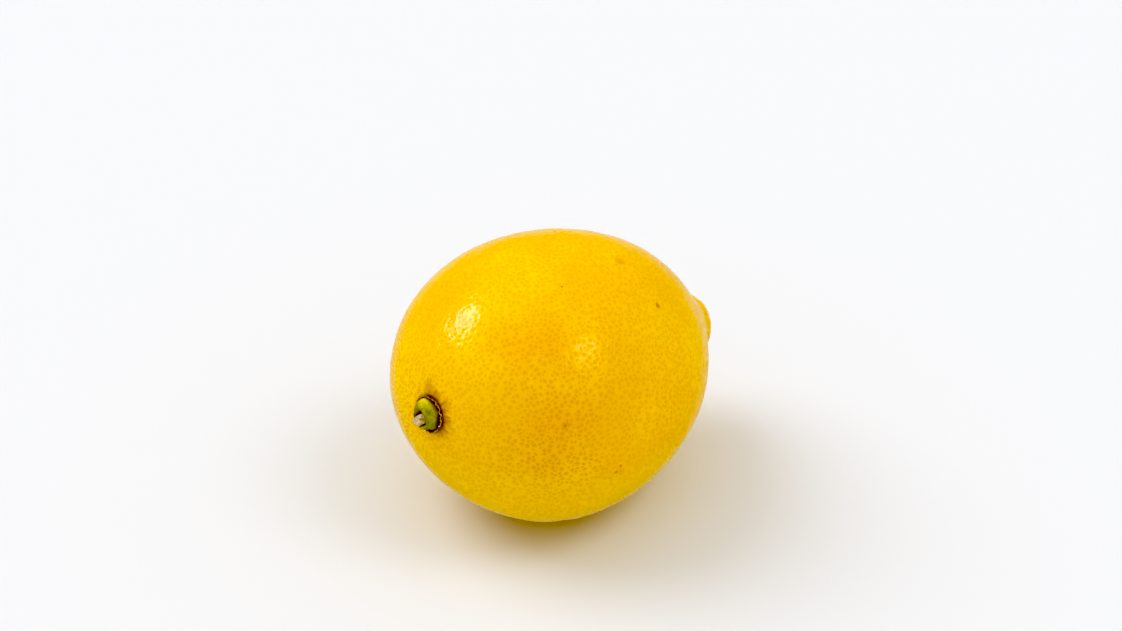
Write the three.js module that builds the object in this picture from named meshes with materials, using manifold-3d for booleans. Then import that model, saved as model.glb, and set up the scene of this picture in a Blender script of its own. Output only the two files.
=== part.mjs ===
// A fresh lemon lying on its side, as it comes to rest on a level surface.
// Millimetres, +Z up, +X from the stem end towards the nipple.
// The origin is on the surface the lemon rests on, under the middle of its outline.

import * as THREE from "three";
import { mergeVertices } from "three/addons/utils/BufferGeometryUtils.js";
import Module from "manifold-3d";

// The fruit, measured from its widest section.
const widestRadius = 29;
const stemHalfLength = 29.5;
const tipHalfLength = 37.4; // of the body alone, as if it closed without a nipple
const stemFullness = 2.04; // 2 is an ellipse, and more is fuller
const tipFullness = 1.9;
const neckStart = 29.3; // past here the body runs straight to the nipple
const neckSlope = 1;

// The nipple, a blunt dome that grows out of the tip.
const nippleRadius = 7.2;
const nippleShoulder = 39; // where the dome starts to close
const nippleDome = 6.3;
const nippleBlend = 3; // how softly the body runs into it

// What keeps the fruit from being a perfect turned shape.
const ovalShare = 0.02;
const ovalTurn = -0.15;
const threeSidedShare = 0.02;
const threeSidedTurn = -0.3;
const bow = 0.35; // sideways bow of the axis
const bowTurn = -0.4;
const bowHalfLength = 33;

// The nipple lies a little lower than the stem, and the rind under the fruit is pressed flat.
const restPitch = THREE.MathUtils.degToRad(9.4);
const restDepth = 0.45;

// The dip in the rind that the calyx sits in.
const socketRadius = 4.3;
const socketDepth = 0.9;
const socketEdge = 0.7;

// The calyx: a thin sepal rim, a puffed ring and a pit in the middle.
const sepalRadius = 3.9;
const sepalThickness = 0.4;
const sepalLobes = 5;
const sepalWave = 0.04;
const sepalLip = 0.8; // how far the rim reaches past its underside
const ringRadius = 2.5;
const ringHalfWidth = 0.95;
const ringHeight = 2.1;
const ringPuff = 0.7; // below 1 the ring is fuller than an ellipse
const pitDepth = 1;

// The cut stem that stands in the pit.
const stemRadius = 1.15;
const stemTaper = 0.9; // top against foot
const stemSides = 0.08; // how three-sided its section is
const stemRise = 0.9; // above the top of the ring
const stemLean = 0.2; // radians, away from the calyx's axis
const stemLeanTurn = -0.74; // which way it leans, from +Y towards +Z
const clearance = 0.3; // between neighbouring pieces

// The block that cuts the flat spot.
const slabWidth = 60;
const slabHeight = 10;

// How finely the round shapes are divided.
const roundSteps = 56;
const stemSideSteps = 22;
const tipSideSteps = 26;
const smallRoundSteps = 30;
const smallArcSteps = 9;
const stemHeightSteps = 3;

const wasm = await Module();
wasm.setup();

// The fruit's radius at x on the nipple side: the body and the dome, joined by a soft maximum.
function tipSideRadius(x) {
  const reach = Math.min(x, neckStart) / tipHalfLength;
  const full = widestRadius * (1 - reach ** 2) ** (1 / tipFullness);
  const past = THREE.MathUtils.clamp((x - nippleShoulder) / nippleDome, 0, 1);
  const body = full - neckSlope * Math.max(x - neckStart, 0) - nippleRadius * past;
  const dome = nippleRadius * Math.sqrt(1 - past ** 2);
  const share = THREE.MathUtils.clamp(0.5 + (0.5 * (body - dome)) / nippleBlend, 0, 1);
  return dome * (1 - share) + body * share + nippleBlend * share * (1 - share);
}

// How far the rind dips towards the middle of the fruit at a distance from the stem's axis.
function socketDip(radius) {
  const inside = THREE.MathUtils.smoothstep(socketRadius - radius, -socketEdge, socketEdge);
  return socketDepth * inside;
}

// Outline of the fruit from the stem end to the nipple, as radius against place along the axis.
function fruitOutline() {
  const points = [];
  for (let step = 0; step < stemSideSteps; step += 1) {
    const angle = (Math.PI / 2) * (step / stemSideSteps) ** 1.3; // closer together at the stem
    const radius = widestRadius * Math.sin(angle) ** (2 / stemFullness);
    points.push(new THREE.Vector2(radius, socketDip(radius) - stemHalfLength * Math.cos(angle)));
  }
  const length = nippleShoulder + nippleDome;
  for (let step = 0; step < tipSideSteps; step += 1) {
    const x = length * Math.sin((Math.PI / 2) * (step / tipSideSteps));
    points.push(new THREE.Vector2(tipSideRadius(x), x));
  }
  points.push(new THREE.Vector2(0, length));
  return points;
}

// Presses the turned fruit a little oval and three-sided, and bows its axis.
function makeUneven(geometry) {
  const position = geometry.getAttribute("position");
  for (let i = 0; i < position.count; i += 1) {
    const x = position.getX(i);
    const turn = Math.atan2(position.getZ(i), position.getY(i));
    const oval = ovalShare * Math.cos(2 * (turn - ovalTurn));
    const threeSided = threeSidedShare * Math.cos(3 * (turn - threeSidedTurn));
    const radius = Math.hypot(position.getY(i), position.getZ(i)) * (1 + oval + threeSided);
    const offset = bow * (1 - (x / bowHalfLength) ** 2);
    const y = radius * Math.cos(turn) + offset * Math.cos(bowTurn);
    const z = radius * Math.sin(turn) + offset * Math.sin(bowTurn);
    position.setXYZ(i, x, y, z);
  }
}

// A closed geometry as a solid that can be cut.
function toSolid(geometry) {
  const bare = geometry.clone();
  bare.deleteAttribute("normal");
  bare.deleteAttribute("uv");
  const merged = mergeVertices(bare, 1e-3);
  return new wasm.Manifold(
    new wasm.Mesh({
      numProp: 3,
      vertProperties: merged.getAttribute("position").array,
      triVerts: new Uint32Array(merged.index.array),
    }),
  );
}

function toGeometry(solid) {
  const mesh = solid.getMesh();
  const geometry = new THREE.BufferGeometry();
  geometry.setAttribute("position", new THREE.BufferAttribute(mesh.vertProperties, 3));
  geometry.setIndex(new THREE.BufferAttribute(mesh.triVerts, 1));
  geometry.computeVertexNormals();
  return geometry;
}

// The whole fruit at its resting angle, with the flat spot cut level.
function makeFruit() {
  const turned = new THREE.LatheGeometry(fruitOutline(), roundSteps);
  turned.rotateZ(-Math.PI / 2);
  makeUneven(turned);
  turned.rotateY(restPitch);
  turned.computeBoundingBox();
  const slab = new THREE.BoxGeometry(slabWidth, slabWidth, slabHeight);
  slab.translate(0, 0, turned.boundingBox.min.z + restDepth - slabHeight / 2);
  const geometry = toGeometry(toSolid(turned).subtract(toSolid(slab)));
  const rind = new THREE.MeshStandardMaterial({ color: 0xf2b705, roughness: 0.38, metalness: 0 });
  const fruit = new THREE.Mesh(geometry, rind);
  fruit.name = "fruit";
  return fruit;
}

// The calyx stands along +Y from its underside, and its sepals make a gentle wave round the rim.
function makeCalyx() {
  const points = [new THREE.Vector2(0, 0)];
  points.push(new THREE.Vector2(sepalRadius - sepalLip, 0));
  points.push(new THREE.Vector2(sepalRadius, sepalThickness / 4));
  points.push(new THREE.Vector2(sepalRadius, sepalThickness));
  for (let step = 0; step < smallArcSteps; step += 1) {
    const angle = (Math.PI * step) / smallArcSteps;
    const radius = ringRadius + ringHalfWidth * Math.cos(angle);
    const rise = (ringHeight - sepalThickness) * Math.sin(angle) ** ringPuff;
    points.push(new THREE.Vector2(radius, sepalThickness + rise));
  }
  points.push(new THREE.Vector2(ringRadius - ringHalfWidth, ringHeight - pitDepth));
  points.push(new THREE.Vector2(0, ringHeight - pitDepth));
  const geometry = new THREE.LatheGeometry(points, smallRoundSteps);
  const position = geometry.getAttribute("position");
  for (let i = 0; i < position.count; i += 1) {
    const turn = Math.atan2(position.getZ(i), position.getX(i));
    const wave = 1 + sepalWave * Math.cos(sepalLobes * turn);
    position.setX(i, position.getX(i) * wave);
    position.setZ(i, position.getZ(i) * wave);
  }
  const green = new THREE.MeshStandardMaterial({ color: 0x93a012, roughness: 0.6, metalness: 0 });
  const calyx = new THREE.Mesh(toGeometry(toSolid(geometry)), green);
  calyx.name = "calyx";
  return calyx;
}

// The stem was snapped off, so it leans a little and its section is nearly three-sided.
function makeStemStub() {
  const foot = ringHeight - pitDepth + clearance + stemRadius * Math.sin(stemLean);
  const top = ringHeight + stemRise;
  const geometry = new THREE.CylinderGeometry(
    stemRadius * stemTaper,
    stemRadius,
    top - foot,
    smallRoundSteps,
    stemHeightSteps,
  );
  const position = geometry.getAttribute("position");
  for (let i = 0; i < position.count; i += 1) {
    const turn = Math.atan2(position.getZ(i), position.getX(i));
    const side = 1 + stemSides * Math.cos(3 * turn);
    position.setX(i, position.getX(i) * side);
    position.setZ(i, position.getZ(i) * side);
  }
  geometry.translate(0, (top - foot) / 2, 0);
  geometry.rotateZ(-stemLean);
  geometry.rotateY(-stemLeanTurn);
  geometry.translate(0, foot, 0);
  const wood = new THREE.MeshStandardMaterial({ color: 0xb79a6e, roughness: 0.85, metalness: 0 });
  const stemStub = new THREE.Mesh(toGeometry(toSolid(geometry)), wood);
  stemStub.name = "stem_stub";
  return stemStub;
}

// The calyx and stem share the fruit's axis, and stand out of the socket towards -X.
const stemEnd = new THREE.Group();
stemEnd.add(makeCalyx());
stemEnd.add(makeStemStub());
stemEnd.rotation.z = Math.PI / 2;
const bowAtStem = bow * (1 - (stemHalfLength / bowHalfLength) ** 2);
stemEnd.position.set(
  socketDepth - stemHalfLength - clearance,
  bowAtStem * Math.cos(bowTurn),
  bowAtStem * Math.sin(bowTurn),
);

const tilted = new THREE.Group();
tilted.rotation.y = restPitch;
tilted.add(stemEnd);

const lemon = new THREE.Group();
lemon.add(makeFruit());
lemon.add(tilted);

// Puts the flat spot on z = 0 and the middle of the outline over the origin.
lemon.updateMatrixWorld(true);
const outline = new THREE.Box3().setFromObject(lemon, true);
const middle = outline.getCenter(new THREE.Vector3());
lemon.position.set(-middle.x, -middle.y, -outline.min.z);

export default lemon;
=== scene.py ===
import math

import bpy
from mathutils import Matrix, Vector


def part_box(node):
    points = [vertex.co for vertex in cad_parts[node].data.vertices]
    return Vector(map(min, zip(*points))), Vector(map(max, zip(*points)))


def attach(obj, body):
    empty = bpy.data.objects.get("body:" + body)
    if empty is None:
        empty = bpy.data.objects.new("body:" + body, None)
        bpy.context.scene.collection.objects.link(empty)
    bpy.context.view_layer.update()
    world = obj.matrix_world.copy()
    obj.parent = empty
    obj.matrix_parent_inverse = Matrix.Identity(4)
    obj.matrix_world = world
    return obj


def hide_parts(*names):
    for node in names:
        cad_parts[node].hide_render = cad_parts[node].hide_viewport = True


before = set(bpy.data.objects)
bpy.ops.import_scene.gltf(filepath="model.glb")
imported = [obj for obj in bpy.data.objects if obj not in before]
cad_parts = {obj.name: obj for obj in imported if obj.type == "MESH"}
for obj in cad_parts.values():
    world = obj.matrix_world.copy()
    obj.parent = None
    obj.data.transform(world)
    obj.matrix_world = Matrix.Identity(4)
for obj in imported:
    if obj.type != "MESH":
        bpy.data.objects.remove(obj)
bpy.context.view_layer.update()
mm = 0.001
weldDistance = 0.002 * mm  # closes the seam and the poles of a spun shape
scene = bpy.context.scene


class Wire:  # a node socket that adds Math nodes when it is used in an expression
    def __init__(self, tree, socket=None):
        self.tree = tree
        self.socket = socket

    def node(self, kind, settings=None, inputs=None, output=0):
        made = self.tree.nodes.new(kind)
        for name, value in (settings or {}).items():
            setattr(made, name, value)
        for name, value in (inputs or {}).items():
            socket = made.inputs[name]
            if isinstance(value, Wire):
                self.tree.links.new(value.socket, socket)
            else:
                socket.default_value = value
        return Wire(self.tree, made.outputs[output])

    def math(self, operation, first, second=0.0):
        return self.node("ShaderNodeMath", {"operation": operation}, {0: first, 1: second})

    def __add__(self, other):
        return self.math("ADD", self, other)

    def __radd__(self, other):
        return self.math("ADD", other, self)

    def __sub__(self, other):
        return self.math("SUBTRACT", self, other)

    def __rsub__(self, other):
        return self.math("SUBTRACT", other, self)

    def __mul__(self, other):
        return self.math("MULTIPLY", self, other)

    def __rmul__(self, other):
        return self.math("MULTIPLY", other, self)

    def __truediv__(self, other):
        return self.math("DIVIDE", self, other)

    def __pow__(self, other):
        return self.math("POWER", self, other)


def fade(value, start, end, low=0.0, high=1.0):  # a soft step from low to high
    limits = {"Value": value, "From Min": start, "From Max": end, "To Min": low, "To Max": high}
    return value.node("ShaderNodeMapRange", {"interpolation_type": "SMOOTHSTEP"}, limits)


def noise(vector, scale, detail=2.0, roughness=0.5, output="Fac"):
    values = {"Vector": vector, "Scale": scale, "Detail": detail, "Roughness": roughness}
    return vector.node("ShaderNodeTexNoise", {}, values, output)


def cells(vector, scale, output="Distance", feature="F1"):
    values = {"Vector": vector, "Scale": scale}
    return vector.node("ShaderNodeTexVoronoi", {"feature": feature}, values, output)


def mixColour(factor, first, second):
    return factor.node("ShaderNodeMix", {"data_type": "RGBA"}, {"Factor": factor, 6: first, 7: second}, 2)


def vectorMath(operation, first, second=(0.0, 0.0, 0.0), third=(0.0, 0.0, 0.0), output="Vector"):
    values = {0: first, 1: second, 2: third}
    return first.node("ShaderNodeVectorMath", {"operation": operation}, values, output)


def scaled(vector, factor):
    return vector.node("ShaderNodeVectorMath", {"operation": "SCALE"}, {0: vector, "Scale": factor})


def parts(vector):
    return [vector.node("ShaderNodeSeparateXYZ", {}, {"Vector": vector}, axis) for axis in "XYZ"]


def joined(x, y, z):
    wire = next(value for value in (x, y, z) if isinstance(value, Wire))
    return wire.node("ShaderNodeCombineXYZ", {}, {"X": x, "Y": y, "Z": z})


def rgb(red, green, blue):
    return (red, green, blue, 1.0)


# the lemon's own space has X along its axis, from its widest section towards the nipple
lemon = {
    "widestRadius": 29 * mm,
    "stemHalfLength": 29.5 * mm,
    "tipHalfLength": 37.4 * mm,
    "stemFullness": 2.04,  # 2 is an ellipse, and more is fuller
    "tipFullness": 1.9,
    "neckStart": 29.3 * mm,  # past here the body runs straight to the nipple
    "neckSlope": 1.0,
    "nippleRadius": 7.2 * mm,
    "nippleShoulder": 39 * mm,
    "nippleDome": 6.3 * mm,
    "nippleBlend": 3 * mm,
    "oval": 0.02,  # how far from round the section is
    "ovalTurn": -0.15,
    "threeSided": 0.02,
    "threeSidedTurn": -0.3,
    "bow": 0.35 * mm,
    "bowTurn": -0.4,
    "bowHalfLength": 33 * mm,
    "restPitch": math.radians(9.4),  # the nipple lies lower than the stem
    "socketRadius": 3.5 * mm,
    "socketDepth": 0.9 * mm,
    "socketEdge": 0.5 * mm,
    "stemCrowding": 1.15,  # above 1 the outline's points lie closer together at the stem
    "stemSteps": 110,
    "tipSteps": 130,
    "turnSteps": 396,
}


def clamp(value, low, high):
    return max(low, min(high, value))


def tipSideRadius(x):
    reach = min(x, lemon["neckStart"]) / lemon["tipHalfLength"]
    full = lemon["widestRadius"] * (1 - reach ** 2) ** (1 / lemon["tipFullness"])
    past = clamp((x - lemon["nippleShoulder"]) / lemon["nippleDome"], 0, 1)
    body = full - lemon["neckSlope"] * max(x - lemon["neckStart"], 0) - lemon["nippleRadius"] * past
    dome = lemon["nippleRadius"] * math.sqrt(1 - past ** 2)
    share = clamp(0.5 + 0.5 * (body - dome) / lemon["nippleBlend"], 0, 1)
    return dome * (1 - share) + body * share + lemon["nippleBlend"] * share * (1 - share)


def socketDip(radius):
    inside = clamp((lemon["socketRadius"] - radius) / (2 * lemon["socketEdge"]) + 0.5, 0, 1)
    return lemon["socketDepth"] * inside * inside * (3 - 2 * inside)


def fruitOutline():  # from the stem end to the nipple, as (x, radius)
    outline = []
    for step in range(lemon["stemSteps"]):
        angle = math.pi / 2 * (step / lemon["stemSteps"]) ** lemon["stemCrowding"]
        radius = lemon["widestRadius"] * math.sin(angle) ** (2 / lemon["stemFullness"])
        outline.append((socketDip(radius) - lemon["stemHalfLength"] * math.cos(angle), radius))
    length = lemon["nippleShoulder"] + lemon["nippleDome"]
    for step in range(lemon["tipSteps"]):
        x = length * math.sin(math.pi / 2 * step / lemon["tipSteps"])
        outline.append((x, tipSideRadius(x)))
    outline.append((length, 0.0))
    return outline


def startPiece(name):  # one point at the origin, in edit mode
    bpy.ops.object.select_all(action="DESELECT")
    bpy.ops.mesh.primitive_plane_add(size=mm)
    piece = bpy.context.active_object
    piece.name = name
    piece.data.name = name
    bpy.ops.object.mode_set(mode="EDIT")
    bpy.ops.mesh.merge(type="CENTER")
    return piece


def spinOutline(name, outline, steps):  # turns an outline of (x, radius) about the lemon's axis
    piece = startPiece(name)
    here = outline[0]
    bpy.ops.transform.translate(value=(here[0], 0, here[1]))
    for x, radius in outline[1:]:
        move = {"value": (x - here[0], 0, radius - here[1])}
        bpy.ops.mesh.extrude_region_move(TRANSFORM_OT_translate=move)
        here = (x, radius)
    bpy.ops.mesh.select_all(action="SELECT")
    bpy.ops.mesh.spin(steps=steps, angle=2 * math.pi, center=(0, 0, 0), axis=(1, 0, 0))
    bpy.ops.mesh.select_all(action="SELECT")
    bpy.ops.mesh.remove_doubles(threshold=weldDistance)
    bpy.ops.mesh.normals_make_consistent(inside=False)
    bpy.ops.object.mode_set(mode="OBJECT")
    return piece


def shapeByNodes(piece, name, build):  # build gives the new position, and a height along the normal
    tree = bpy.data.node_groups.new(name, "GeometryNodeTree")
    tree.interface.new_socket("Geometry", in_out="INPUT", socket_type="NodeSocketGeometry")
    tree.interface.new_socket("Geometry", in_out="OUTPUT", socket_type="NodeSocketGeometry")
    start = Wire(tree)
    meshIn = start.node("NodeGroupInput")
    position = start.node("GeometryNodeInputPosition")
    normal = start.node("GeometryNodeInputNormal")
    moved, height = build(position)
    placed = start.node("GeometryNodeSetPosition", {}, {"Geometry": meshIn, "Position": moved})
    lift = scaled(normal, height)
    raised = start.node("GeometryNodeSetPosition", {}, {"Geometry": placed, "Offset": lift})
    meshOut = tree.nodes.new("NodeGroupOutput")
    tree.links.new(raised.socket, meshOut.inputs[0])
    modifier = piece.modifiers.new(name, "NODES")
    modifier.node_group = tree
    bpy.context.view_layer.objects.active = piece
    bpy.ops.object.modifier_apply(modifier=name)


def unevenPosition(position):  # presses the turned fruit a little oval and three-sided, and bows its axis
    x, y, z = parts(position)
    turn = x.math("ARCTAN2", z, y)
    oval = lemon["oval"] * x.math("COSINE", 2 * (turn - lemon["ovalTurn"]))
    sides = lemon["threeSided"] * x.math("COSINE", 3 * (turn - lemon["threeSidedTurn"]))
    stretch = 1 + oval + sides
    offset = lemon["bow"] * (1 - (x * (1 / lemon["bowHalfLength"])) ** 2)
    newY = y * stretch + offset * math.cos(lemon["bowTurn"])
    newZ = z * stretch + offset * math.sin(lemon["bowTurn"])
    return joined(x, newY, newZ)


def turnToRest(piece, place):
    bpy.ops.object.select_all(action="DESELECT")
    piece.select_set(True)
    bpy.context.view_layer.objects.active = piece
    piece.rotation_euler = (0, lemon["restPitch"], 0)
    piece.location = place
    bpy.ops.object.transform_apply(location=True, rotation=True, scale=True)


def boxOf(piece):
    corners = [vertex.co for vertex in piece.data.vertices]
    low = Vector(min(corner[axis] for corner in corners) for axis in range(3))
    high = Vector(max(corner[axis] for corner in corners) for axis in range(3))
    return low, high


def lemonSpace(tree, place):  # the lemon's own coordinates, read back from the finished piece
    start = Wire(tree)
    coordinates = start.node("ShaderNodeTexCoord", {}, {}, "Object")
    turned = {"Vector": coordinates, "Location": place, "Rotation": (0, lemon["restPitch"], 0)}
    return start.node("ShaderNodeMapping", {"vector_type": "TEXTURE"}, turned)


def newMaterial(name, **uniform):  # a Principled shader with the values that are the same all over
    material = bpy.data.materials.new(name)
    material.use_nodes = True
    shader = material.node_tree.nodes["Principled BSDF"]
    for socket, value in uniform.items():
        shader.inputs[socket.replace("_", " ")].default_value = value
    return material, shader


def feed(shader, **wires):
    for socket, wire in wires.items():
        wire.tree.links.new(wire.socket, shader.inputs[socket.replace("_", " ")])


def bumpFrom(height, distance, strength=1.0):
    return height.node("ShaderNodeBump", {}, {"Height": height, "Distance": distance, "Strength": strength})


# the relief is shared by the rind's mesh and its material, so that they line up
rind = {
    "cellScale": 960.0,  # oil glands per metre
    "cellWander": 0.4 * mm,
    "wanderScale": 700.0,
    "glandInner": 0.04 * mm,
    "glandOuter": 0.78 * mm,
    "glandSeam": (0.02, 0.27),  # keeps neighbouring glands apart
    "glandDepth": 0.05 * mm,
    "lumpHeight": 0.5 * mm,
    "lumpScale": 55.0,
    "rippleHeight": 0.32 * mm,
    "rippleScale": 170.0,
    "pebbleHeight": 0.16 * mm,
    "pebbleScale": 420.0,
    "nipple": (34 * mm, 42 * mm),  # where the body's finish gives way to the nipple's
    "pleatHeight": 1.0 * mm,
    "pleatStart": (35 * mm, 40 * mm),
    "pleatEnd": (40.5 * mm, 44 * mm),
    "scarDepth": 0.5 * mm,
    "scarReach": (0.4 * mm, 2.2 * mm),
    "glareFreeSpot": (-20, -19, 11),  # in millimetres, in the lemon's own space: the middle of the side the camera faces, where no glare is painted
    "glareFreeReach": (6, 18),
    "flankGlare": 0.25,  # painted glare: how much lighter and yellower the rind is painted away from that spot, towards its edges
    "stemGlare": 0.42,  # painted glare round the stem
    "stemEnd": (-18 * mm, -27 * mm),
    "lowBounceLight": 0.62,  # painted bounce light from the floor, low on the flanks
    "lowFlank": (0.0, -10 * mm),
    "underside": (-21 * mm, -26 * mm),
    "shadeBlotchAmount": 0.26,
    "shadeBlotchHeights": (20 * mm, 2 * mm),  # random darker blotches, faded in downwards between these, so they also paint shade low on the fruit
    "glandAmount": 0.6,
    "glandShadeAmount": 0.4,  # painted shade: added on the lower flanks, where shade shows the glands most
    "glandHeights": (18 * mm, -6 * mm),
    "stainAndShadeTurn": math.radians(150),  # the side of the stem that the stain, with shade painted into it, and the dry sepals are on
    "stainAndShadeReach": (3.7 * mm, 6.4 * mm),
    "stainAndShadeStreaks": 7 * mm,
    "stainAndShadeAmount": 0.75,
    "gold": rgb(0.91, 0.455, 0.001),
    "bright": rgb(0.97, 0.55, 0.001),
    "deep": rgb(0.90, 0.43, 0.001),
    "shadeBlotched": rgb(0.84, 0.38, 0.001),
    "glareAndBounceYellow": rgb(0.98, 0.66, 0.001),
    "gland": rgb(0.72, 0.31, 0.001),
    "stainAndShade": rgb(0.36, 0.13, 0.003),
    "scar": rgb(0.30, 0.13, 0.01),
}


def glandMask(vector):  # 1 in the middle of an oil gland and 0 between them
    wander = noise(vector, rind["wanderScale"], 1.0, output="Color")
    shifted = vectorMath("MULTIPLY_ADD", wander, (rind["cellWander"],) * 3, vector)
    centre = cells(shifted, rind["cellScale"], output="Position")
    nearest = cells(shifted, rind["cellScale"])
    second = cells(shifted, rind["cellScale"], feature="F2")
    away = vectorMath("SUBTRACT", shifted, centre)
    across = 1 / lemon["widestRadius"] ** 2
    spread = (1 / lemon["stemHalfLength"] ** 2, across, across)
    outwards = vectorMath("NORMALIZE", vectorMath("MULTIPLY", vector, spread))
    depth = vectorMath("DOT_PRODUCT", away, outwards, output="Value")
    beside = vectorMath("SUBTRACT", away, scaled(outwards, depth))
    reach = vectorMath("LENGTH", beside, output="Value")
    dot = 1 - fade(reach, rind["glandInner"], rind["glandOuter"])
    return dot * fade(second - nearest, *rind["glandSeam"])


def rindRelief(position):
    moved = unevenPosition(position)
    lumps = (noise(moved, rind["lumpScale"], 1.0) - 0.5) * rind["lumpHeight"]
    ripples = (noise(moved, rind["rippleScale"], 1.0) - 0.5) * rind["rippleHeight"]
    pebbles = (noise(moved, rind["pebbleScale"], 1.0) - 0.5) * rind["pebbleHeight"]
    x, y, z = parts(position)
    nearTip = fade(x, *rind["nipple"])
    turn = x.math("ARCTAN2", z, y)
    creases = noise(joined(x * 15.0, x.math("COSINE", turn), x.math("SINE", turn)), 3.0, 1.0)
    around = fade(x, *rind["pleatStart"]) * (1 - fade(x, *rind["pleatEnd"]) * 0.7)
    pleats = (creases - 0.5) * around * rind["pleatHeight"]
    glands = glandMask(moved) * rind["glandDepth"] * (1 - nearTip * 0.6)
    radius = x.math("SQRT", y * y + z * z)
    scar = (1 - fade(radius, *rind["scarReach"])) * nearTip * rind["scarDepth"]
    return moved, lumps + ripples + pebbles + pleats - glands - scar


def pressFlat(piece):  # lays what is below the floor on it
    bpy.ops.object.mode_set(mode="EDIT")
    bpy.ops.mesh.select_all(action="DESELECT")
    bpy.ops.object.mode_set(mode="OBJECT")
    for vertex in piece.data.vertices:
        vertex.select = vertex.co.z < 0
    bpy.ops.object.mode_set(mode="EDIT")
    bpy.ops.transform.resize(value=(1, 1, 0), center_override=(0, 0, 0))
    bpy.ops.object.mode_set(mode="OBJECT")


def makeFruit():
    piece = spinOutline("lemonFruit", fruitOutline(), lemon["turnSteps"])
    shapeByNodes(piece, "rindShape", rindRelief)
    turnToRest(piece, (0, 0, 0))
    low, high = boxOf(piece)
    nodeLow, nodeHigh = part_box("fruit")
    place = nodeHigh - high
    place.y = (nodeLow.y + nodeHigh.y - low.y - high.y) / 2
    piece.location = place
    bpy.ops.object.transform_apply(location=True)
    pressFlat(piece)
    bpy.ops.object.shade_smooth()
    print("fruit", len(piece.data.polygons), "faces, placed at", place)
    return piece, place


blemishes = {  # places in the lemon's own space, and sizes, in millimetres
    "ringed": [
        ((10.2, -18.1, 20.9), 0.85),
        ((-5.6, -27.9, -6.3), 0.5),
        ((-4.9, -28.2, -4.9), 0.4),
        ((-6.4, -27.6, -7.7), 0.45),
        ((-16.5, -23.2, 5.2), 0.3),
    ],
    "dark": [((-28.7, 7.3, 0.0), 0.3), ((-8.1, -9.8, 26.1), 0.25), ((24.9, -20.4, 5.4), 0.4)],
    "amber": [
        ((-27.8, -8.3, -5.6), 0.5),
        ((-5.6, -27.9, -6.3), 2.2),
        ((8.1, -8.6, 26.9), 1.6),
        ((18.9, -19.8, 14.5), 0.4),
        ((-16.5, -23.2, 5.2), 1.0),
    ],
    "ringedColour": rgb(0.56, 0.17, 0.002),
    "darkColour": rgb(0.20, 0.09, 0.01),
    "amberColour": rgb(0.62, 0.24, 0.002),
}


def spotDistance(space, place):  # how far from the middle of a blemish, in millimetres
    offset = vectorMath("SUBTRACT", space, tuple(value * mm for value in place))
    return vectorMath("LENGTH", offset, output="Value") * 1000.0


def spots(space, kind):
    ragged = noise(space, 1800.0, 2.0) - 0.5
    total = 0.0
    for place, size in blemishes[kind]:
        distance = spotDistance(space, place) + ragged * size * 0.9
        total = total + (1 - fade(distance, size * 0.4, size))
    return total.math("MINIMUM", total, 1.0)


def paintedLightShare(space):  # painted glare and painted bounce light: where the rind is painted lighter and yellower
    x, _, z = parts(space)
    away = fade(spotDistance(space, rind["glareFreeSpot"]), *rind["glareFreeReach"])
    atStem = fade(x, *rind["stemEnd"])
    low = fade(z, *rind["lowFlank"]) * (1 - fade(z, *rind["underside"]))
    edges = x.math("MAXIMUM", atStem * rind["stemGlare"], low * rind["lowBounceLight"])
    return x.math("MAXIMUM", away * rind["flankGlare"], edges)


def stainAndShadeMask(space, patch):  # the streaked stain that runs out from the stem, partly a real stain and partly painted shade by the socket
    x, y, z = parts(space)
    turn = x.math("ARCTAN2", z, y)
    radius = x.math("SQRT", y * y + z * z)
    stemSide = 1 - fade(x, -10 * mm, 0.0)
    nearSide = fade(x.math("COSINE", turn - rind["stainAndShadeTurn"]) + (patch - 0.5), -0.3, 0.7)
    streaks = noise(joined(radius * 60.0, x.math("COSINE", turn), x.math("SINE", turn)), 4.5, 3.0)
    reach = radius + (streaks - 0.5) * rind["stainAndShadeStreaks"]
    return (1 - fade(reach, *rind["stainAndShadeReach"])) * stemSide * (0.15 + 0.85 * nearSide)


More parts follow.
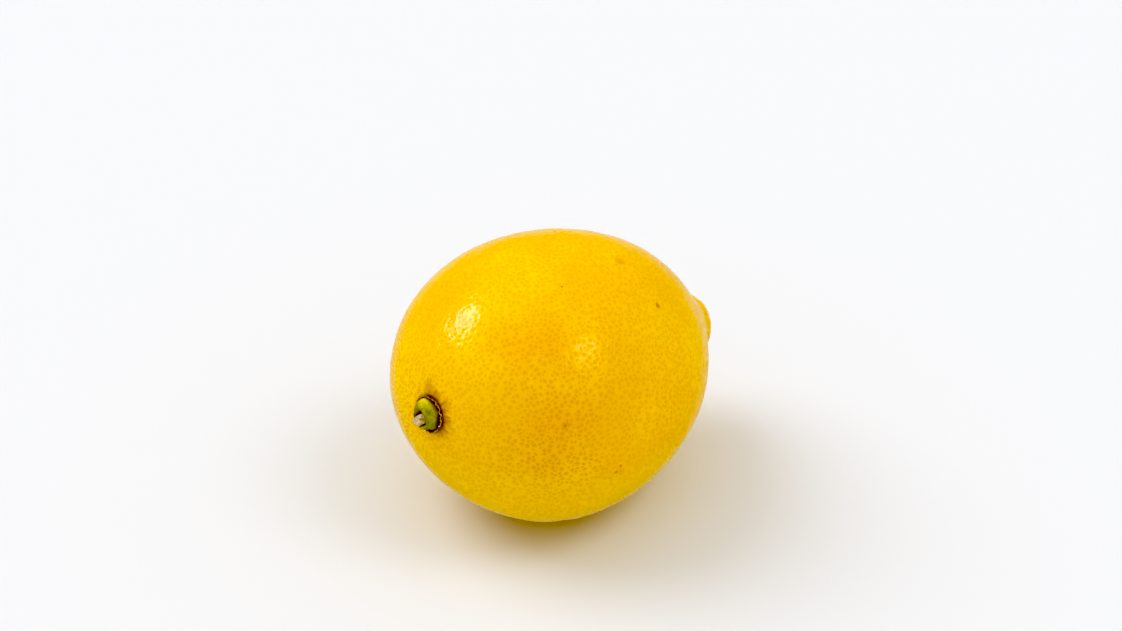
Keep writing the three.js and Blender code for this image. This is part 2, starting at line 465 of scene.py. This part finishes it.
def rindMaterial(place):
    material, shader = newMaterial(
        "lemonRind",
        Subsurface_Weight=0.1,
        Subsurface_Radius=(1.0, 0.45, 0.08),
        Subsurface_Scale=1.6 * mm,
        IOR=1.28,
        Specular_Tint=rgb(1.0, 0.72, 0.78),
    )
    space = lemonSpace(material.node_tree, place)
    x, y, z = parts(space)
    gland = glandMask(space)
    broad = noise(space, 60.0, 2.0)
    patch = noise(space, 260.0, 3.0)
    colour = mixColour(fade(broad, 0.35, 0.65), rind["gold"], rind["bright"])
    colour = mixColour(fade(patch, 0.35, 0.7) * 0.3, colour, rind["deep"])
    # random darker blotches, which also paint shade on the lower flanks
    shadeBlotch = fade(noise(space, 140.0, 2.0), 0.5, 0.66) * fade(z, *rind["shadeBlotchHeights"])
    colour = mixColour(shadeBlotch * rind["shadeBlotchAmount"], colour, rind["shadeBlotched"])
    # painted glare and painted bounce light, mixed into the rind's colour; the glands are painted fainter
    # there
    glareAndBounceYellow = paintedLightShare(space)
    colour = mixColour(glareAndBounceYellow, colour, rind["glareAndBounceYellow"])
    # painted shade: the glands are painted darker on the lower flanks
    shaded = fade(z, *rind["glandHeights"]) * fade(noise(space, 45.0, 1.0), 0.3, 0.6)
    strength = rind["glandAmount"] + rind["glandShadeAmount"] * shaded
    colour = mixColour(gland * strength * (1 - 0.6 * glareAndBounceYellow), colour, rind["gland"])
    # a stain round the stem on one side, partly painted shade by the socket
    colour = mixColour(stainAndShadeMask(space, patch) * rind["stainAndShadeAmount"], colour, rind["stainAndShade"])
    scarEdge = x.math("SQRT", y * y + z * z) + (patch - 0.5) * (2 * mm)
    scar = (1 - fade(scarEdge, 0.9 * mm, 1.7 * mm)) * fade(x, 40 * mm, 41 * mm)
    colour = mixColour(scar * 0.8, colour, rind["scar"])
    amber = spots(space, "amber") * fade(patch, 0.4, 0.6)
    colour = mixColour(amber * 0.45, colour, blemishes["amberColour"])
    colour = mixColour(spots(space, "ringed") * 0.85, colour, blemishes["ringedColour"])
    colour = mixColour(spots(space, "dark") * 0.7, colour, blemishes["darkColour"])
    roughness = 0.17 + 0.14 * gland + 0.14 * (patch - 0.5)
    height = noise(space, 2600.0, 2.0) * 0.08 - gland * 0.35 + noise(space, 900.0, 1.0) * 0.4
    feed(shader, Base_Color=colour, Roughness=roughness, Normal=bumpFrom(height, 0.10 * mm, 0.6))
    return material


calyx = {
    "footRadius": 2.6 * mm,
    "skirtRadius": 2.95 * mm,
    "skirtHeight": 0.1 * mm,
    "ringRadius": 2.25 * mm,
    "ringHalfWidth": 0.9 * mm,
    "ringFoot": 0.3 * mm,
    "ringHeight": 2.0 * mm,
    "puff": 0.5,  # below 1 the ring is fuller than an ellipse
    "pitRadius": 1.35 * mm,
    "pitDepth": 1.0 * mm,
    "offCentre": (0.8 * mm, -1.25 * mm),  # how far the pit is from the middle
    "slide": (1.3 * mm, 3.1 * mm),  # all of that up to here, and none of it from here on
    "shift": (0.3 * mm, -0.12 * mm),
    "wrinkle": 1.0 * mm,
    "arcSteps": 24,
    "turnSteps": 96,
    "shade": rgb(0.16, 0.19, 0.002),
    "green": rgb(0.36, 0.34, 0.003),
    "litLime": rgb(0.70, 0.58, 0.002),
    "dull": rgb(0.20, 0.16, 0.004),
    "dryFootAndShade": rgb(0.09, 0.04, 0.003),
    "pit": rgb(0.07, 0.045, 0.006),
    "specks": rgb(0.07, 0.05, 0.005),
}
calyxFoot = -lemon["stemHalfLength"] + lemon["socketDepth"] - 0.1 * mm  # the underside of the button


def outward(height):  # a place on the axis above the button's underside
    return calyxFoot - height


def calyxOutline():
    rise = calyx["ringHeight"] - calyx["ringFoot"]
    skirt = (outward(calyx["skirtHeight"]), calyx["skirtRadius"])
    outline = [(outward(0), 0.0), (outward(0), calyx["footRadius"]), skirt]
    for step in range(calyx["arcSteps"]):
        angle = math.pi * step / calyx["arcSteps"]
        radius = calyx["ringRadius"] + calyx["ringHalfWidth"] * math.cos(angle)
        outline.append((outward(calyx["ringFoot"] + rise * math.sin(angle) ** calyx["puff"]), radius))
    pitFloor = outward(calyx["ringHeight"] - calyx["pitDepth"])
    outline.append((pitFloor, calyx["pitRadius"]))
    outline.append((pitFloor, 0.5 * mm))
    outline.append((pitFloor, 0.0))
    return outline


def calyxRelief(position):
    x, y, z = parts(position)
    turn = x.math("ARCTAN2", z, y)
    lobes = 1 + 0.05 * x.math("COSINE", 5 * turn + 0.7) + 0.04 * x.math("COSINE", 3 * turn + 2.0)
    y = y * lobes
    z = z * lobes
    share = 1 - fade(x.math("SQRT", y * y + z * z), *calyx["slide"])
    newY = y + share * calyx["offCentre"][0] + calyx["shift"][0]
    newZ = z + share * calyx["offCentre"][1] + calyx["shift"][1]
    moved = joined(x, newY, newZ)
    wrinkles = (noise(moved, 460.0, 2.0) - 0.5) * calyx["wrinkle"]
    return moved, wrinkles


def makeCalyx(place):
    piece = spinOutline("calyxRing", calyxOutline(), calyx["turnSteps"])
    shapeByNodes(piece, "calyxShape", calyxRelief)
    turnToRest(piece, place)
    bpy.ops.object.shade_smooth()
    return piece


def calyxMaterial(place):
    material, shader = newMaterial("calyxGreen", IOR=1.4)
    space = lemonSpace(material.node_tree, place)
    x, y, z = parts(space)
    tone = noise(space, 450.0, 3.0)
    fine = noise(space, 1500.0, 2.0)
    height = (calyxFoot - x) * 1000.0  # in millimetres
    # painted light: the ring's top is painted lighter and yellower
    litTop = fade(z + (tone - 0.5) * (4 * mm), 0.6 * mm, 2.8 * mm)
    colour = mixColour(fade(tone, 0.35, 0.65), calyx["shade"], calyx["green"])
    colour = mixColour(litTop * 0.85, colour, calyx["litLime"])
    colour = mixColour(fade(fine, 0.5, 0.7) * 0.4, colour, calyx["dull"])
    # dry brown at the ring's foot, painted darker as the shade where it sinks into the socket
    foot = 1 - fade(height + (tone - 0.5) * 1.2, 0.6, 1.5)
    colour = mixColour(foot * 0.9, colour, calyx["dryFootAndShade"])
    besideY = y - calyx["offCentre"][0] - calyx["shift"][0]
    besideZ = z - calyx["offCentre"][1] - calyx["shift"][1]
    fromStub = x.math("SQRT", besideY * besideY + besideZ * besideZ)
    # painted shade: the pit round the stub is painted nearly black
    pit = 1 - fade(fromStub + (tone - 0.5) * (0.5 * mm), 1.3 * mm, 1.6 * mm)
    colour = mixColour(pit * 0.9, colour, calyx["pit"])
    specks = 1 - fade(cells(space, 1300.0), 0.12, 0.3)
    colour = mixColour(specks * fade(tone, 0.48, 0.56) * 0.7, colour, calyx["specks"])
    bump = bumpFrom(noise(space, 2600.0, 3.0), 0.12 * mm, 0.7)
    feed(shader, Base_Color=colour, Roughness=0.45 + 0.25 * tone, Normal=bump)
    return material


sepals = {
    "inner": 2.9 * mm,
    "outer": 4.1 * mm,
    "foot": 0.2 * mm,
    "cup": 0.55 * mm,  # how far the outer edge stands up
    "thickness": 0.1 * mm,
    "ragged": 2.0 * mm,
    "curl": 1.1 * mm,
    "farSide": 0.6 * mm,  # how much shorter the sepals are away from the stain and its painted shade
    "widthSteps": 8,
    "turnSteps": 180,
    "dryAndShaded": rgb(0.07, 0.03, 0.002),
    "straw": rgb(0.95, 0.76, 0.45),
    "torn": rgb(0.14, 0.055, 0.005),
}


def sepalOutline():
    under = []
    over = []
    for step in range(sepals["widthSteps"] + 1):
        share = step / sepals["widthSteps"]
        radius = sepals["inner"] + (sepals["outer"] - sepals["inner"]) * share
        height = sepals["foot"] + sepals["cup"] * share ** 2
        under.append((outward(height), radius))
        over.append((outward(height + sepals["thickness"] * (1.2 - share)), radius))
    return under + over[::-1] + under[:1]


def sepalRelief(position):
    x, y, z = parts(position)
    turn = x.math("ARCTAN2", z, y)
    radius = x.math("SQRT", y * y + z * z)
    share = fade(radius, sepals["inner"], sepals["outer"])
    around = joined(0.0, x.math("COSINE", turn), x.math("SINE", turn))
    jag = (noise(around, 9.0, 3.0, 0.7) - 0.5) * sepals["ragged"] * share
    jag = jag - share * sepals["farSide"] * (1 - x.math("COSINE", turn - rind["stainAndShadeTurn"]))
    curl = noise(around, 6.0, 3.0) * sepals["curl"] * share
    stretch = 1 + jag / radius
    return joined(x - curl, y * stretch, z * stretch), 0.0


def makeSepals(place):
    piece = spinOutline("sepalRim", sepalOutline(), sepals["turnSteps"])
    shapeByNodes(piece, "sepalShape", sepalRelief)
    turnToRest(piece, place)
    bpy.ops.object.shade_smooth()
    return piece


def sepalMaterial(place):
    material, shader = newMaterial("dryPaper", IOR=1.4)
    space = lemonSpace(material.node_tree, place)
    x, y, z = parts(space)
    radius = x.math("SQRT", y * y + z * z)
    tone = noise(space, 900.0, 3.0)
    # dried sepals, painted dark inside as the shade of the gap they lie in, straw at their edges
    edge = fade(radius + (tone - 0.5) * (1.2 * mm), 3.45 * mm, 3.75 * mm)
    colour = mixColour(edge, sepals["dryAndShaded"], sepals["straw"])
    colour = mixColour(fade(tone, 0.5, 0.6) * 0.7, colour, sepals["torn"])
    bump = bumpFrom(noise(space, 3000.0, 3.0), 0.1 * mm, 0.8)
    feed(shader, Base_Color=colour, Roughness=0.6 + 0.2 * tone, Normal=bump)
    return material


stub = {
    "radius": 0.97 * mm,
    "foot": 1.05 * mm,
    "top": 2.5 * mm,
    "taper": 0.08,
    "lean": (0.2 * mm, -0.3 * mm),
    "slant": 0.4,  # the broken end rises towards one side
    "splinter": 0.4 * mm,
    "heightSteps": 8,
    "turnSteps": 64,
    "brokenEnd": [(0.12 * mm, 0.84), (0.1 * mm, 0.6), (0.0, 0.3)],  # above the top, and shares of the radius
    "dark": rgb(0.48, 0.33, 0.21),
    "pale": rgb(0.82, 0.63, 0.44),
}


def stubOutline():
    outline = [(outward(stub["foot"]), 0.0), (outward(stub["foot"]), stub["radius"])]
    for step in range(1, stub["heightSteps"] + 1):
        share = step / stub["heightSteps"]
        height = stub["foot"] + (stub["top"] - stub["foot"]) * share
        outline.append((outward(height), stub["radius"] * (1 - stub["taper"] * share)))
    for above, width in stub["brokenEnd"]:
        outline.append((outward(stub["top"] + above), stub["radius"] * width))
    outline.append((outward(stub["top"]), 0.0))
    return outline


def stubRelief(position):
    x, y, z = parts(position)
    turn = x.math("ARCTAN2", z, y)
    sides = 1 + 0.10 * x.math("COSINE", 3 * turn + 0.9) + 0.05 * x.math("COSINE", 5 * turn + 1.0)
    rise = fade(x, outward(stub["foot"]), outward(stub["top"]))
    newY = y * sides + calyx["offCentre"][0] + calyx["shift"][0] + rise * stub["lean"][0]
    newZ = z * sides + calyx["offCentre"][1] + calyx["shift"][1] + rise * stub["lean"][1]
    moved = joined(x - rise * y * stub["slant"], newY, newZ)
    return moved, (noise(moved, 1300.0, 2.0) - 0.5) * stub["splinter"]


def makeStub(place):
    piece = spinOutline("stemStub", stubOutline(), stub["turnSteps"])
    shapeByNodes(piece, "stubShape", stubRelief)
    turnToRest(piece, place)
    bpy.ops.object.shade_smooth()
    return piece


def woodMaterial(place):
    material, shader = newMaterial("stemWood", IOR=1.35)
    space = lemonSpace(material.node_tree, place)
    x, y, z = parts(space)
    fibres = noise(joined(x * 0.25, y, z), 2600.0, 3.0)
    colour = mixColour(fade(fibres, 0.35, 0.65), stub["dark"], stub["pale"])
    feed(shader, Base_Color=colour, Roughness=0.75 + 0.2 * fibres, Normal=bumpFrom(fibres, 0.12 * mm, 0.8))
    return material


studio = {
    "floorSize": 40,
    "floorColour": rgb(0.76, 0.766, 0.785),
    "skyLow": 0.53,  # light from the horizon
    "skyHigh": 0.836,  # light from overhead
    "skyReach": 0.7,  # how high up the light stops growing
    "mirroredFloor": 0.8,  # how bright the glossy rind sees the floor
    "mirroredShadow": 0.5,  # and how bright it sees the floor under the fruit
    "shadowEdge": (-0.85, -0.5),  # where one gives way to the other
    "farWhite": 0.97,  # what the camera sees past the floor
    "lights": [
        {"name": "keyLight", "azimuth": -154.5, "elevation": 49.5, "spread": 42, "strength": 1.25},
        {"name": "sideLight", "azimuth": 33, "elevation": 54, "spread": 28, "strength": 0.60},
    ],
    "glints": [  # the softboxes as the glossy rind mirrors them
        {"name": "keyGlint", "azimuth": -146, "elevation": 35, "spread": 25, "strength": 3.1},
        {"name": "sideGlint", "azimuth": 15, "elevation": 41, "spread": 24, "strength": 1.8},
    ],
    "blackLevel": (0.0, 0.035, 0.12),  # takes a little green and blue off the dark end
}
view = {
    "azimuth": -43.05,
    "elevation": 34.05,
    "distance": 475.7 * mm,
    "lens": 75.0,
    "aim": (8.8 * mm, 10.2 * mm, 29.4 * mm),
}


def towards(azimuth, elevation):
    around = math.radians(azimuth)
    above = math.radians(elevation)
    return Vector((math.sin(around) * math.cos(above), -math.cos(around) * math.cos(above), math.sin(above)))


def makeFloor():
    bpy.ops.object.select_all(action="DESELECT")
    bpy.ops.mesh.primitive_plane_add(size=studio["floorSize"])
    floor = bpy.context.active_object
    floor.name = "floor"
    finish = {"Base_Color": studio["floorColour"], "Roughness": 0.9, "Specular_IOR_Level": 0.1}
    floor.data.materials.append(newMaterial("paleFloor", **finish)[0])
    floor.visible_glossy = False


def addSun(light):
    direction = towards(light["azimuth"], light["elevation"])
    bpy.ops.object.light_add(type="SUN", location=direction)
    lamp = bpy.context.active_object
    lamp.name = light["name"]
    lamp.rotation_euler = direction.to_track_quat("Z", "Y").to_euler()
    lamp.data.energy = light["strength"]
    lamp.data.angle = math.radians(light["spread"])
    return lamp


def makeLights():
    for light in studio["lights"]:
        addSun(light).visible_glossy = False
    for light in studio["glints"]:
        addSun(light).visible_diffuse = False
    world = bpy.data.worlds.new("studio")
    world.use_nodes = True
    scene.world = world
    start = Wire(world.node_tree)
    seen = start.node("ShaderNodeLightPath", {}, {}, "Is Camera Ray")
    background = world.node_tree.nodes["Background"]
    background.inputs["Color"].default_value = rgb(1, 1, 1)
    direction = start.node("ShaderNodeTexCoord", {}, {}, "Generated")
    rise = parts(direction)[2]
    above = fade(rise, 0.0, studio["skyReach"], studio["skyLow"], studio["skyHigh"])
    below = fade(rise, *studio["shadowEdge"], studio["mirroredShadow"], studio["mirroredFloor"])
    above = fade(rise, -0.05, 0.0) * (above - below) + below
    strength = above + seen * (studio["farWhite"] - above)
    world.node_tree.links.new(strength.socket, background.inputs["Strength"])


def makeCamera():
    back = towards(view["azimuth"], view["elevation"])
    bpy.ops.object.camera_add(location=Vector(view["aim"]) + back * view["distance"])
    camera = bpy.context.active_object
    camera.rotation_euler = back.to_track_quat("Z", "Y").to_euler()
    camera.data.lens = view["lens"]
    camera.data.sensor_width = 36
    camera.data.clip_start = 0.01
    scene.camera = camera
    scene.view_settings.view_transform = "Standard"
    scene.view_settings.use_curve_mapping = True
    scene.view_settings.curve_mapping.black_level = studio["blackLevel"]
    scene.view_settings.curve_mapping.update()


makeCamera()
makeFloor()
makeLights()
print("studio ready")

fruit, lemonPlace = makeFruit()
fruit.data.materials.append(rindMaterial(lemonPlace))
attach(fruit, "root")
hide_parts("fruit")
print("fruit ready")

ring = makeCalyx(lemonPlace)
ring.data.materials.append(calyxMaterial(lemonPlace))
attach(ring, "root")
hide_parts("calyx")
print("calyx ready")

rim = makeSepals(lemonPlace)
rim.data.materials.append(sepalMaterial(lemonPlace))
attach(rim, "root")
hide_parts("calyx")
print("sepals ready")

stem = makeStub(lemonPlace)
stem.data.materials.append(woodMaterial(lemonPlace))
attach(stem, "root")
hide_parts("stem_stub")
print("stem ready")
